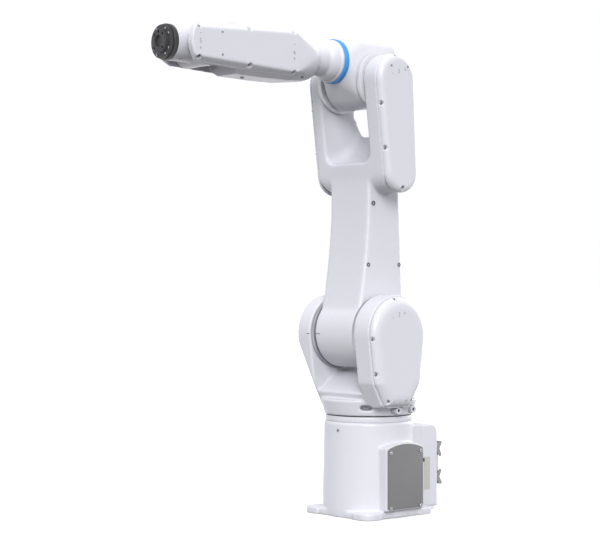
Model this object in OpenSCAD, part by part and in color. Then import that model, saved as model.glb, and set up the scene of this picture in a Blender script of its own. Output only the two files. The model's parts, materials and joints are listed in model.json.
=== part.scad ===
// Six-axis robot arm on a bolted foot, millimetres.
// Origin on the first axis at the floor, X to the tool, Z up.

/* [Base] */
// Side of the square foot plate
foot_size = 175; // [165:1:190]
// Thickness of the foot plate
foot_thick = 12; // [10:0.5:18]
// Corner radius of the foot lugs
foot_corner = 20; // [14:1:28]
// Recess of the foot edge between the lugs
foot_relief = 4; // [2:0.5:6]
// Foot bolt centres in from the plate edge
foot_bolt_edge = 14.5; // [13:0.5:18]
// Bolt hole diameter in the foot
foot_bolt_d = 11; // [9:0.5:13]
// Foot of the column in from the plate edge
column_inset = 1.5; // [0.5:0.25:4]
// Draft of the column, on its radius
column_draft = 3; // [1:0.5:5]
// Height of the column top above the floor
column_top = 173; // [165:1:185]
// Soft edge radius at the column top
column_edge = 5; // [2:0.5:8]
// Bearing ring in from the column top edge
ring_inset = 3; // [2:0.5:6]
// Bearing ring height
ring_h = 10; // [6:0.5:14]
// Side boxes out from the plate edge
side_box_proud = 4.5; // [2:0.5:7]
// Width of the side boxes along X
side_box_w = 94; // [84:1:100]
// Centre of the left side box along X
side_box_x = -3; // [-8:1:2]
// Centre of the right side box along X
side_box_right_x = -17; // [-22:1:-12]
// Height of the side box crown
side_box_top = 137; // [125:1:145]
// Thickness of the grey side panels
panel_t = 3; // [2:0.5:4]
// Border around the side panels
panel_border = 3; // [2:0.5:6]

/* [Connector box] */
// Rear face of the connector box behind the plate edge
rear_x = 44.5; // [38:0.5:58]
// Depth of the connector box behind its joint with the casting
rear_depth = 42; // [32:1:46]
// Width of the connector box
rear_w = 100; // [90:1:104]
// Top of the connector box
rear_top = 161; // [150:1:165]
// Underside of the connector box above the floor
rear_low = 6; // [4:0.5:10]
// Soft corner at the rear top of the box
rear_round = 16; // [8:1:24]
// Thickness of the rear connector plate
plate_t = 3; // [2:0.5:4]
// Height of the connector centre
plug_z = 85; // [80:1:90]
// Connector centre to the left of the middle
plug_y = 17; // [12:0.5:18]
// Half height of the connector frame
plug_half_h = 33; // [30:1:37]
// Half width of the connector frame
plug_half_w = 18; // [16:1:21]
// Depth of the connector frame behind its flange
plug_depth = 10; // [9:0.5:12]
// Thickness of the connector flange
plug_flange_t = 3; // [2:0.5:4]
// Thickness of one latch side plate
latch_t = 2.5; // [2:0.25:3.5]

/* [Turret] */
// Lower edge of the turret in from the column top edge
turret_inset = 1; // [0:0.5:4]
// Dark gap at the first axis
turn_gap = 2; // [1:0.25:3]
// Front lip of the saddle above the floor
lip_z = 214; // [208:1:220]
// Outward slope of the round base of the turret
lip_slope = 0.25; // [0.15:0.01:0.3]
// Outward slope of the right cheek up from the base
right_slope = 0.37; // [0.34:0.01:0.5]
// Outward slope under the left cheek
left_slope = 1.6; // [1.2:0.1:2]
// Second axis ahead of the first
shoulder_x = 25; // [20:1:30]
// Second axis above the floor
shoulder_z = 335; // [330:1:345]
// Room between the shoulder cheeks beyond the beam width
yoke_gap = 14; // [12:0.5:18]
// Radius of the shoulder cheeks
cheek_r = 70; // [67:0.5:73]
// Half width of the cheeks at the hip
cheek_hip = 59; // [55:0.5:62]
// Hip of the cheeks below the second axis
hip_drop = 89; // [80:1:96]
// Half width of the cheeks at their lower end
cheek_foot = 35; // [32:0.5:42]
// Lower edge of the cheeks below the second axis
foot_drop = 134; // [130:0.5:138]
// Thickness of the left cheek
cheek_left = 39; // [35:0.5:43]
// Thickness of the right cheek
cheek_right = 33; // [29:0.5:37]
// Gap between the hub flange and the saddle
saddle_gap = 6; // [5:0.5:8]
// Floor behind the hub, below the second axis
rear_floor_drop = 65; // [60:1:70]
// Thickness of the left shoulder cover
cover_left_t = 14; // [12:0.5:18]
// Thickness of the right shoulder cover
cover_right_t = 8; // [6:0.5:10]
// Run of the soft edge of the shoulder covers
cover_soft = 20; // [14:1:24]
// Inset of the shoulder covers from the cheek edge
cover_inset = 3.5; // [2:0.25:5]
// Diameter of the lifting plugs
plug_d = 13; // [11:0.5:15]
// Radius of the screw pockets in the covers
pocket_r = 4.5; // [3.5:0.25:5.5]

/* [Lower arm] */
// Distance from the second to the third axis
arm_length = 460; // [450:1:480]
// Width of the beam
arm_w = 104; // [98:1:106]
// Front face of the beam ahead of the second axis, at its narrowest
beam_ahead = 24.5; // [22:0.5:28]
// Rear face of the beam behind the second axis, at its top
beam_back = 52; // [48:0.5:56]
// Radius of the hub at the second axis
hub_r = 65; // [62:0.5:66]
// Radius of the hub flange discs
hub_flange_r = 67; // [65:0.5:69]
// Running gap at the joint faces
run_gap = 1.5; // [1:0.25:2]
// Room between the fork arms beyond the elbow width
fork_gap = 20; // [18:0.5:24]
// Thickness of the left fork arm
fork_left = 33.5; // [30:0.5:38]
// Thickness of the right fork arm
fork_right = 25; // [22:0.5:30]
// Upper radius of the fork arms
fork_r_high = 46.5; // [44:0.5:48]
// Lower radius of the fork arms
fork_r_low = 40; // [37:0.5:42]
// Lower end centre of the fork arms, below the third axis
fork_drop = 166; // [158:1:172]
// Lower end centre of the fork arms, behind the third axis
fork_back = 14; // [10:0.5:18]
// Rounding of the lower outside corners of the fork
fork_corner = 34; // [26:1:38]
// Radius of the scoop between the fork arms
saddle_r = 80; // [76:1:82]
// Fillet between the scoop and the fork arms
saddle_round = 20; // [12:1:24]
// Room under the elbow flanges before the scoop begins
scoop_gap = 6; // [5:0.5:8]
// Centre of the scoop ahead of the third axis
saddle_ahead = 27; // [24:1:30]
// Centre of the scoop below the third axis
saddle_drop = 69; // [66:1:72]
// Thickness of the left elbow cover
elbow_cover_left_t = 12.5; // [10:0.5:15]
// Thickness of the right elbow cover
elbow_cover_right_t = 7; // [5:0.5:9]
// Inset of the elbow covers from the fork edge
elbow_inset = 1; // [0.5:0.25:2]

/* [Elbow] */
// Fourth axis above the third
elbow_rise = 35; // [32:1:40]
// Width of the elbow casting
elbow_w = 96; // [90:1:100]
// Radius of the elbow casting about the third axis
elbow_r = 49; // [46:0.5:54]
// Radius of the elbow flange discs
elbow_flange_r = 52; // [50:0.5:56]
// Softening of the side edges of the elbow casting
elbow_soft = 8; // [5:0.5:12]
// Top of the elbow casting above the fourth axis
arch_h = 41.5; // [38:0.5:44]
// Half width of the elbow casting at its top
arch_half_w = 44; // [40:0.5:47]
// Corner radius along its top
arch_corner = 18; // [14:0.5:22]
// Rear end of the elbow casting behind the third axis
arch_back = 64; // [58:1:66]
// Face that carries the accent ring, ahead of the third axis
accent_x = 61; // [58:0.5:64]
// Width of the accent ring
accent_w = 10; // [7:0.5:12]
// Radius of the accent ring
accent_r = 40.5; // [40:0.25:43]
// Radius of the neck lip
lip_r = 38.75; // [38:0.25:39.5]
// Width of the neck lip
lip_w = 5; // [4:0.5:8]
// Radius of the neck dome at the lip
dome_r = 36.5; // [35:0.5:37.5]
// Length of the neck dome
dome_l = 21; // [16:0.5:26]
// Neck radius at the forearm
neck_r = 29; // [26:0.5:32]
// Front end of the neck ahead of the third axis
neck_x = 124; // [120:1:128]

/* [Forearm] */
// Distance from the third to the fifth axis
forearm_reach = 375; // [368:1:385]
// Length of the rear collar
collar_l = 69; // [62:1:74]
// Radius of the rear collar at its end
collar_end_r = 31; // [30:0.5:35]
// Radius of the rear collar where its round end begins
collar_r = 45; // [43:0.5:47]
// Half width of the forearm at its rear
fore_half_w = 50; // [48:0.5:53]
// Half height of the forearm at its rear
fore_half_h = 47; // [44:0.5:50]
// Half height of the side flat at the rear
fore_flat_rear = 34; // [30:0.5:37]
// Half width at the wrist end
tip_half_w = 48; // [46:0.5:50]
// Half height at the wrist end
tip_half_h = 41.5; // [38:0.5:44]
// Half height of the side flat at the wrist end
tip_flat = 23.5; // [21:0.5:26]
// Half width of the top and bottom flats
top_half_w = 25; // [22:0.5:29]
// Half distance between the side covers
cover_split = 39; // [37.5:0.5:41]
// Radius of the round cheek ends
tip_r = 49; // [46:0.5:51]
// Half width of the wrist slot
slot_half_w = 34.5; // [34:0.25:36]
// Bend of the fifth axis each way that the slot leaves room for, degrees
bend_max = 115; // [105:1:120]
// Gap left around the bent nose
nose_gap = 5; // [5:0.5:7]

/* [Wrist and flange] */
// Distance from the fifth axis to the flange face
tool_offset = 84; // [80:1:88]
// Radius of the wrist block about the fifth axis
wrist_r = 36; // [34:0.5:38]
// Radius of the wrist nose
nose_r = 30.5; // [29:0.5:31]
// Length of the black reducer ring
reducer_l = 9; // [8:0.5:12]
// Diameter of the turning flange disc
flange_d = 57; // [55:0.5:58]
// Thickness of the turning flange disc
flange_t = 5.5; // [4:0.5:7]
// Diameter of the centring boss
boss_d = 40; // [39:0.5:42]
// Height of the centring boss
boss_h = 6; // [5:0.5:7]
// Bolt circle of the flange
flange_pcd = 31.5; // [30:0.5:32]
// Core diameter of the tapped holes
flange_hole_d = 4.2; // [3.5:0.1:5]
// Diameter of the centring recess
recess_d = 20; // [19:0.5:21]
// Depth of the centring recess
recess_l = 4; // [3:0.5:6]
// Diameter of the dowel hole
dowel_d = 5; // [4:0.5:5.5]

/* [Hidden] */
$fn = 96;
clear = 0.3;
eps = 0.01;
hair = 0.03;
far = arm_length;
bolt_at = foot_size / 2 - foot_bolt_edge;
column_r_low = foot_size / 2 - column_inset;
column_r_high = column_r_low - column_draft;
side_box_y = foot_size / 2 + side_box_proud;
panel_low = foot_thick + 5;
crown_r = 1.25 * side_box_w;
ring_r = column_r_high - ring_inset;
ring_top = column_top + ring_h;
rear_at = foot_size / 2 + rear_x;
split_x = rear_at - rear_depth;
plug_face = rear_at + plate_t;
frame_at = plug_face + plug_flange_t;
latch_x = frame_at + 5.5;
latch_dz = plug_half_h - 6;
turret_r = column_r_high - turret_inset;
turret_low = ring_top + turn_gap;
lip_x = turret_r + lip_slope * (lip_z - turret_low) + 1;
yoke_in = (arm_w + yoke_gap) / 2;
left_y = yoke_in + cheek_left;
right_y = yoke_in + cheek_right;
scoop_r = hub_flange_r + saddle_gap;
lift_z = turret_low + 10;
lift_xs = [shoulder_x - 12, shoulder_x - 58];
arm_y = arm_w / 2;
fork_in = (elbow_w + fork_gap) / 2;
fork_left_y = fork_in + fork_left;
fork_right_y = fork_in + fork_right;
j2 = [shoulder_x, shoulder_z];
elbow_z = shoulder_z + arm_length;
j3 = [shoulder_x, elbow_z];
fork_low = [shoulder_x - fork_back, elbow_z - fork_drop];
fork_foot = fork_low[1] - fork_r_low;
beam_top = fork_low[1] + 8;
beam_front = shoulder_x + beam_ahead;
beam_rear = shoulder_x - beam_back;
sweep_r = 2.2 * arm_length;
saddle = [shoulder_x + saddle_ahead, elbow_z - saddle_drop];
wrist_z = elbow_z + elbow_rise;
accent_at = shoulder_x + accent_x;
lip_at = accent_at + accent_w;
neck_end = shoulder_x + neck_x;
collar_at = neck_end + 1;
fore_at = collar_at + collar_l;
j5_x = shoulder_x + forearm_reach;
bend_at = fore_at + 0.31 * (j5_x - fore_at);
tip_at = j5_x + tip_r + 2;
face_x = j5_x + tool_offset;
boss_at = face_x - boss_h;
flange_at = boss_at - flange_t;
reducer_at = flange_at - 0.5 - reducer_l;
hub_at = reducer_at + 4;

// Extrudes an outline drawn in X and Z between two Y planes.
module slab(y0, y1) {
  translate([0, y1, 0]) rotate([90, 0, 0]) linear_extrude(y1 - y0) children();
}

// Turns a profile drawn as radius and distance about an X axis at height z.
module turned_x(x, z) {
  translate([x, 0, z]) rotate([0, 90, 0]) rotate_extrude() children();
}

// Cylinder along X.
module bar_x(x0, x1, z, r) {
  translate([x0, 0, z]) rotate([0, 90, 0]) cylinder(h = x1 - x0, r = r);
}

// Cylinder along Y.
module bar_y(p, y0, y1, r) {
  translate([p[0], y0, p[1]]) rotate([-90, 0, 0]) cylinder(h = y1 - y0, r = r);
}

// Rectangle with round corners, centred.
module round_rect(w, h, r) {
  square([w, h - 2 * r], center = true);
  square([w - 2 * r, h], center = true);
  for (x = [-1, 1], y = [-1, 1]) translate([x * (w / 2 - r), y * (h / 2 - r)]) circle(r);
}

// Point on a common tangent of two circles, s from 0 to 1 along it, side 1 or -1.
function tangent_point(c1, r1, c2, r2, s, side) = let (
    run = c2 - c1,
    a = atan2(run[1], run[0]) + side * acos((r1 - r2) / norm(run)),
    out = [cos(a), sin(a)])
  c1 + s * run + (r1 + s * (r2 - r1)) * out;

// Two circles joined by their common tangents, drawn in by a hair so that they cross the circles.
module joined(c1, r1, c2, r2) {
  translate(c1) circle(r1);
  translate(c2) circle(r2);
  polygon([for (e = [[0, 1], [1, 1], [1, -1], [0, -1]])
    tangent_point(c1, r1 - hair, c2, r2 - hair, e[0], e[1])]);
}

// Screw pockets along Y at the given places, open from y0 outwards.
module pockets(places, y0) {
  for (p = places) bar_y(p, y0, y0 + far, pocket_r);
}

// Base

module foot_outline() {
  reach = foot_size / 2;
  gap = foot_size - 4 * foot_corner;
  difference() {
    round_rect(foot_size, foot_size, foot_corner);
    for (a = [0:90:270]) rotate(a) translate([reach - foot_relief, -gap / 2]) square([foot_relief + 1, gap]);
  }
}

module panel_outline(x, grow) {
  half = side_box_w / 2 - panel_border + grow;
  top = side_box_top - panel_border + grow;
  low = panel_low - grow;
  intersection() {
    translate([x - half, low]) square([2 * half, top - low]);
    translate([x, top - crown_r]) circle(crown_r);
  }
}

module column() {
  low = column_r_low;
  high = column_r_high;
  rotate_extrude() {
    polygon([[0, 0], [low - 0.5, 0], [low, foot_thick], [high, column_top - column_edge],
      [high - column_edge, column_top - column_edge], [high - column_edge, column_top], [0, column_top]]);
    intersection() {
      translate([high - column_edge, column_top - column_edge]) circle(column_edge);
      translate([high - column_edge, column_top - column_edge]) square(column_edge);
    }
  }
}

module base_casting() {
  color("WhiteSmoke")
  difference() {
    union() {
      linear_extrude(foot_thick) foot_outline();
      column();
      slab(0, side_box_y) panel_outline(side_box_x, panel_border);
      slab(-side_box_y, 0) panel_outline(side_box_right_x, panel_border);
      translate([-split_x, -rear_w / 2, rear_low]) cube([split_x, rear_w, rear_top - rear_low]);
    }
    for (x = [-1, 1], y = [-1, 1]) translate([x, y, 0] * bolt_at) {
      translate([0, 0, -1]) cylinder(h = foot_thick + 2, d = foot_bolt_d);
      translate([0, 0, foot_thick - 1]) cylinder(h = 12, d = 2 * foot_bolt_d);
    }
  }
}

module bearing_ring() {
  color("Gainsboro")
  translate([0, 0, column_top]) difference() {
    cylinder(h = ring_h, r = ring_r);
    translate([0, 0, -1]) cylinder(h = ring_h + 2, r = ring_r - 25);
  }
}

module side_panel_left() {
  color("Gray") slab(side_box_y, side_box_y + panel_t) panel_outline(side_box_x, 0);
}

module side_panel_right() {
  color("Gray") slab(-side_box_y - panel_t, -side_box_y) panel_outline(side_box_right_x, 0);
}

module connector_box() {
  color("WhiteSmoke")
  slab(-rear_w / 2, rear_w / 2) {
    translate([-rear_at, rear_low]) square([rear_depth, rear_top - rear_low - rear_round]);
    translate([-rear_at + rear_round, rear_low]) square([rear_depth - rear_round, rear_top - rear_low]);
    translate([-rear_at + rear_round, rear_top - rear_round]) circle(rear_round);
  }
}

module connector_plate() {
  tall = rear_top - rear_round - rear_low - 8;
  color("Silver")
  translate([-rear_at, 0, rear_low + 4 + tall / 2]) rotate([0, -90, 0])
  linear_extrude(plate_t) round_rect(tall, rear_w - 16, 4);
}

// Connector, drawn looking at the rear plate, height first.
module plug_solid(x, h, half_h, half_w, r) {
  translate([-x, plug_y, plug_z]) rotate([0, -90, 0]) linear_extrude(h) round_rect(2 * half_h, 2 * half_w, r);
}

module connector_frame() {
  color("DarkGray")
  difference() {
    union() {
      plug_solid(plug_face, plug_flange_t, plug_half_h + 4, plug_half_w + 6, 4);
      plug_solid(frame_at, plug_depth, plug_half_h, plug_half_w, 5);
      for (s = [-1, 1]) bar_y([-latch_x, plug_z + s * latch_dz], plug_y - plug_half_w - latch_t - 2,
        plug_y + plug_half_w + latch_t + 2, 2.5);
    }
    plug_solid(frame_at, plug_depth + 5, plug_half_h - 4, plug_half_w - 4, 3);
  }
}

module connector_insert() {
  color("DimGray") plug_solid(frame_at, plug_depth - 4, plug_half_h - 6, plug_half_w - 6, 2);
}

// Latch lever: two side plates with a cross bar, s is 1 above and -1 below.
module latch(s) {
  pin = [-latch_x, plug_z + s * latch_dz];
  tip = pin + [-8, -12 * s];
  top = pin + [-9, 11 * s];
  side = plug_half_w + 1;
  color("Gray")
  translate([0, plug_y, 0]) difference() {
    union() {
      for (y = [-side - latch_t, side]) slab(y, y + latch_t) {
        joined(pin, 5, tip, 3);
        joined(pin, 5, top, 3);
      }
      bar_y(top, -side - eps, side + eps, 3);
    }
    bar_y(pin, -side - 20, side + 20, 2.5 + clear);
  }
}

module latch_upper() {
  latch(1);
}

module latch_lower() {
  latch(-1);
}

// Turret

// Side outline of a shoulder cheek, drawn in by an inset.
module shield(inset) {
  r = cheek_r - inset;
  hip = [cheek_hip - inset, -hip_drop];
  foot = [cheek_foot - inset, inset - foot_drop];
  touch = tangent_point([0, 0], r - hair, hip, 0, 0, 1);
  flip = [[-1, 0], [0, 1]];
  translate(j2) circle(r);
  translate(j2) polygon([[0, r / 2], touch, hip, foot, flip * foot, flip * hip, flip * touch]);
}

// Convex plate on the cheek outline, its edge falling away over run and depth, outward along +Y.
module soft_shield(t, run) {
  depth = t - 1;
  hull() for (a = [0:22.5:90]) slab(0, 1 + eps + depth * sin(a))
    shield(cover_inset + run * (1 - cos(a)), $fn = 48);
}

// Round form of the turret that opens upwards at a slope, from its lower edge to height z.
module flare(slope, z) {
  h = z - turret_low;
  translate([0, 0, turret_low]) cylinder(h = h, r1 = turret_r, r2 = turret_r + slope * h);
}

// Room for the hub, with the sloping saddle in front and a level floor behind.
module scoop() {
  floor_z = j2[1] - rear_floor_drop;
  low = j2[1] - scoop_r;
  back = scoop_r / 4;
  rise = back * (low - lip_z) / (lip_x - j2[0]);
  slab(-yoke_in, yoke_in) {
    translate(j2) circle(scoop_r);
    polygon([[j2[0] - back, low + rise], [lip_x, lip_z], [far, lip_z], [far, elbow_z], [j2[0] - back, elbow_z]]);
    translate([-far, floor_z]) square([far + j2[0], elbow_z - floor_z]);
  }
}

function lift_seat(x) = sqrt(turret_r * turret_r - (abs(x) + 9) * (abs(x) + 9)) - 1;

module turret_casting() {
  slot_a = 43;
  slot_depth = 18;
  crown = shoulder_z + cheek_r + 1;
  color("WhiteSmoke")
  difference() {
    union() {
      flare(lip_slope, lip_z);
      translate([0, 0, ring_top + clear]) cylinder(h = turn_gap, r = ring_r - 10);
      intersection() {
        slab(-right_y, 0) shield(0);
        flare(right_slope, crown);
      }
      intersection() {
        slab(0, left_y) shield(0);
        flare(left_slope, crown);
      }
    }
    scoop();
    for (x = lift_xs) bar_y([x, lift_z], lift_seat(x), far, plug_d / 2 + 1.5);
    rotate(slot_a) translate([turret_r - slot_depth, 0, turret_low + 15]) rotate([0, 90, 0])
      linear_extrude(far) round_rect(9, 22, 4.4);
  }
}

// Screw places round the shoulder covers: front pair, top, rear and the pair at the lower end.
cover_r = cheek_r - cover_inset;
shoulder_upper = [for (p = [[cover_r - 1, -9], [cheek_hip - 2, -hip_drop + 17], [10, cover_r - 2],
  [2 - cheek_hip, -0.6 * hip_drop]]) j2 + p];
shoulder_lower = [for (x = [-1, 1]) j2 + [x * (cheek_foot - 5), 12 - foot_drop]];

module shoulder_cover_left() {
  color("WhiteSmoke")
  difference() {
    translate([0, left_y, 0]) soft_shield(cover_left_t, cover_soft);
    pockets(shoulder_upper, left_y + 2);
    pockets(shoulder_lower, left_y + cover_left_t / 2);
  }
}

module shoulder_cover_right() {
  color("WhiteSmoke")
  difference() {
    intersection() {
      translate([0, -right_y, 0]) mirror([0, 1, 0]) soft_shield(cover_right_t, cover_soft);
      flare(right_slope, elbow_z);
    }
    mirror([0, 1, 0]) pockets(shoulder_upper, right_y + 2);
  }
}

module socket_plugs() {
  color("WhiteSmoke")
  for (x = lift_xs) difference() {
    bar_y([x, lift_z], lift_seat(x), lift_seat(x) + 15, plug_d / 2);
    translate([x, lift_seat(x) + 9, lift_z]) rotate([-90, 0, 0]) cylinder(h = 10, d = 7, $fn = 6);
  }
}

// Lower arm

module beam_outline() {
  rear_top_edge = [beam_rear, beam_top];
  translate(j2) circle(hub_r);
  difference() {
    polygon([j2, tangent_point(j2, hub_r - hair, rear_top_edge, 0, 0, 1), rear_top_edge,
      [beam_front + 60, beam_top], [beam_front + 60, j2[1]]]);
    translate([beam_front + sweep_r, fork_foot + 8]) circle(sweep_r);
  }
}

module fork_outline() {
  joined(j3, fork_r_high, fork_low, fork_r_low);
}

// Fork seen from the front, left arm at positive Y.
module fork_front() {
  low = fork_foot - 1;
  wide = fork_left_y + fork_right_y;
  translate([-fork_right_y, low + fork_corner]) square([wide, arm_length]);
  translate([-fork_right_y + fork_corner, low]) square([wide - 2 * fork_corner, fork_corner]);
  translate([-fork_right_y + fork_corner, low + fork_corner]) circle(fork_corner);
  translate([fork_left_y - fork_corner, low + fork_corner]) circle(fork_corner);
}

// Room between the fork arms: a round scoop with filleted rims, and open above.
module saddle_slot() {
  turn_r = saddle_r - saddle_round;
  flat = fork_in - saddle_round;
  translate([saddle[0], 0, saddle[1]]) rotate([90, 0, 0]) rotate_extrude() {
    translate([0, -fork_in]) square([turn_r, 2 * fork_in]);
    translate([0, -flat]) square([saddle_r, 2 * flat]);
    for (s = [-1, 1]) translate([turn_r, s * flat]) circle(saddle_round);
  }
  translate([-far, -fork_in, elbow_z - elbow_flange_r - scoop_gap]) cube([2 * far, 2 * fork_in, far]);
}

module lower_arm_casting() {
  color("WhiteSmoke")
  difference() {
    union() {
      slab(-arm_y, arm_y) beam_outline();
      intersection() {
        slab(-fork_right_y, fork_left_y) fork_outline();
        translate([-far, 0, 0]) rotate([90, 0, 90]) linear_extrude(2 * far) fork_front();
      }
    }
    saddle_slot();
  }
}

// Flange disc with a bearing boss, from y0 to the seat at y1, outward along +Y.
module flange_disc(p, y0, y1, r) {
  bar_y(p, y0, y1 - run_gap, r);
  bar_y(p, y0, y1 - clear, 0.75 * r);
}

module hub_flange_left() {
  color("Silver") flange_disc(j2, arm_y, yoke_in, hub_flange_r);
}

module hub_flange_right() {
  color("Silver") mirror([0, 1, 0]) flange_disc(j2, arm_y, yoke_in, hub_flange_r);
}

// Oval plate with a quarter-round edge, outward along +Y.
module soft_oval(t) {
  f = t - 1;
  hull() for (a = [0:22.5:90], c = [[j3, fork_r_high], [fork_low, fork_r_low]])
    slab(0, 1 + eps + f * sin(a)) translate(c[0]) circle(c[1] - elbow_inset - f * (1 - cos(a)), $fn = 48);
}

// Screw places round the elbow covers: top, two down each side and the lower end.
function fork_edge(s, side) = tangent_point(j3, fork_r_high - 2, fork_low, fork_r_low - 2, s, side);
elbow_pockets = concat([j3 + [3, fork_r_high - 3], fork_low - [-2, fork_r_low - 9]],
  [for (s = [0.25, 0.73], side = [-1, 1]) fork_edge(s, side)]);

module elbow_cover_left() {
  color("WhiteSmoke")
  difference() {
    translate([0, fork_left_y, 0]) soft_oval(elbow_cover_left_t);
    pockets(elbow_pockets, fork_left_y + 3);
  }
}

module elbow_cover_right() {
  color("WhiteSmoke")
  difference() {
    translate([0, -fork_right_y, 0]) mirror([0, 1, 0]) soft_oval(elbow_cover_right_t);
    mirror([0, 1, 0]) pockets(elbow_pockets, fork_right_y + 3);
  }
}

// Elbow

module elbow_casting() {
  half = elbow_w / 2;
  rear = j3[0] - arch_back + arch_corner;
  y = arch_half_w - arch_corner;
  z = wrist_z + arch_h - arch_corner;
  color("WhiteSmoke")
  hull() {
    bar_y(j3, elbow_soft - half, half - elbow_soft, elbow_r, $fn = 64);
    bar_y(j3, -half, half, elbow_r - elbow_soft, $fn = 64);
    bar_x(accent_at - 1, accent_at, wrist_z, accent_r, $fn = 64);
    for (s = [-1, 1]) translate([0, s * y, 0]) {
      bar_x(rear, accent_at - 26, z, arch_corner, $fn = 32);
      translate([rear, 0, z]) sphere(arch_corner, $fn = 32);
    }
  }
}

module elbow_flange_left() {
  color("Silver") flange_disc(j3, elbow_w / 2, fork_in, elbow_flange_r);
}

module elbow_flange_right() {
  color("Silver") mirror([0, 1, 0]) flange_disc(j3, elbow_w / 2, fork_in, elbow_flange_r);
}

module accent_ring() {
  color("DodgerBlue") bar_x(accent_at, lip_at, wrist_z, accent_r);
}

module neck() {
  fall = dome_r - neck_r;
  dome = (fall * fall + dome_l * dome_l) / (2 * fall);
  color("WhiteSmoke")
  turned_x(lip_at, wrist_z) {
    square([lip_r, lip_w]);
    translate([0, lip_w]) intersection() {
      square([dome_r, dome_l]);
      translate([dome_r - dome, 0]) circle(dome);
    }
    square([neck_r, neck_end - lip_at]);
    square([neck_r - 6, collar_at - clear - lip_at]);
  }
}

// Forearm

// Eight-sided section across the forearm.
module eight(x, hw, hh, flat, tw) {
  translate([x, 0, wrist_z]) rotate([90, 0, 90]) linear_extrude(eps)
    polygon([[hw, flat], [tw, hh], [-tw, hh], [-hw, flat], [-hw, -flat], [-tw, -hh], [tw, -hh], [hw, -flat]]);
}

module forearm_body() {
  f = (bend_at - fore_at) / (tip_at - fore_at);
  intersection() {
    hull() {
      eight(fore_at, fore_half_w, fore_half_h, fore_flat_rear, top_half_w);
      eight(bend_at, fore_half_w + f * (tip_half_w - fore_half_w), fore_half_h,
        fore_flat_rear + f * (tip_flat - fore_flat_rear), top_half_w);
      eight(tip_at, tip_half_w, tip_half_h, tip_flat, top_half_w);
    }
    slab(-far, far) {
      translate([j5_x, wrist_z]) circle(tip_r);
      translate([fore_at - 1, wrist_z - fore_half_h - 1]) square([j5_x - fore_at + 1, 2 * fore_half_h + 2]);
    }
  }
}

// Room for the wrist between the cheeks, open to the full bend either way.
module wrist_slot() {
  web = (nose_r + nose_gap) / sin(bend_max);
  run = far * [cos(bend_max), sin(bend_max)];
  slab(-slot_half_w, slot_half_w) translate([j5_x, wrist_z]) {
    circle(wrist_r + 2);
    polygon([[-web, 0], [run[0] - web, run[1]], [far, run[1]], [far, -run[1]], [run[0] - web, -run[1]]]);
  }
}

// Half space of the forearm covers, s is 1 on the left and -1 on the right.
module cover_side(s) {
  translate([0, s * (cover_split + far / 2), wrist_z]) cube([4 * far, far, far], center = true);
}

module forearm_casting() {
  color("WhiteSmoke")
  difference() {
    forearm_body();
    for (s = [-1, 1]) cover_side(s);
    wrist_slot();
  }
}

// Rear collar: from the eight-sided section to a round, domed end.
module forearm_collar() {
  dome = 0.62 * collar_l;
  color("WhiteSmoke")
  hull() {
    eight(fore_at - eps, fore_half_w, fore_half_h, fore_flat_rear, top_half_w);
    for (a = [0:18:90]) translate([collar_at + dome * (1 - cos(a)), 0, wrist_z]) rotate([0, 90, 0])
      cylinder(h = eps, r = collar_end_r + (collar_r - collar_end_r) * sin(a), $fn = 64);
  }
}

// Screw places along the chamfers of a forearm cover, above and below its side flat.
function side_flat(x) = fore_flat_rear + (tip_flat - fore_flat_rear) * (x - fore_at) / (tip_at - fore_at);
forearm_pockets = [for (x = [fore_at + 6, 0.42 * fore_at + 0.58 * j5_x, j5_x + 0.68 * tip_r], s = [-1, 1])
  [x, wrist_z + s * (side_flat(x) + 2.5)]];

module forearm_cover(s) {
  difference() {
    intersection() {
      forearm_body();
      cover_side(s);
    }
    if (s > 0) pockets(forearm_pockets, cover_split + 2);
    else mirror([0, 1, 0]) pockets(forearm_pockets, cover_split + 2);
  }
}

module forearm_cover_left() {
  color("WhiteSmoke") forearm_cover(1);
}

module forearm_cover_right() {
  color("WhiteSmoke") forearm_cover(-1);
}

// Wrist and flange

module wrist_housing() {
  half = slot_half_w - run_gap;
  color("WhiteSmoke")
  union() {
    bar_y([j5_x, wrist_z], -half, half, wrist_r);
    bar_y([j5_x, wrist_z], clear - slot_half_w, slot_half_w - clear, 0.6 * wrist_r);
    bar_x(j5_x, reducer_at, wrist_z, nose_r);
  }
}

module reducer_ring() {
  color("DimGray")
  difference() {
    bar_x(reducer_at, reducer_at + reducer_l, wrist_z, nose_r);
    bar_x(reducer_at + 3, reducer_at + reducer_l + 1, wrist_z, boss_d / 2 + 2 * clear);
  }
}

// Hole along X into the flange face, at an angle on the bolt circle.
module face_hole(a, depth, d) {
  translate([face_x - depth, 0, wrist_z]) rotate([a, 0, 0]) translate([0, flange_pcd / 2, 0])
    rotate([0, 90, 0]) cylinder(h = depth + 1, d = d);
}

module tool_flange() {
  color("DimGray")
  difference() {
    union() {
      bar_x(hub_at, face_x, wrist_z, boss_d / 2);
      bar_x(flange_at, boss_at, wrist_z, flange_d / 2);
    }
    for (a = [45:90:315]) face_hole(a, boss_h + flange_t, flange_hole_d);
    face_hole(90, boss_h, dowel_d);
    bar_x(face_x - recess_l, face_x + 1, wrist_z, recess_d / 2);
  }
}

base_casting();
bearing_ring();
side_panel_left();
side_panel_right();
connector_box();
connector_plate();
connector_frame();
connector_insert();
latch_upper();
latch_lower();
turret_casting();
shoulder_cover_left();
shoulder_cover_right();
socket_plugs();
lower_arm_casting();
hub_flange_left();
hub_flange_right();
elbow_cover_left();
elbow_cover_right();
elbow_casting();
elbow_flange_left();
elbow_flange_right();
accent_ring();
neck();
forearm_casting();
forearm_collar();
forearm_cover_left();
forearm_cover_right();
wrist_housing();
reducer_ring();
tool_flange();
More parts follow.
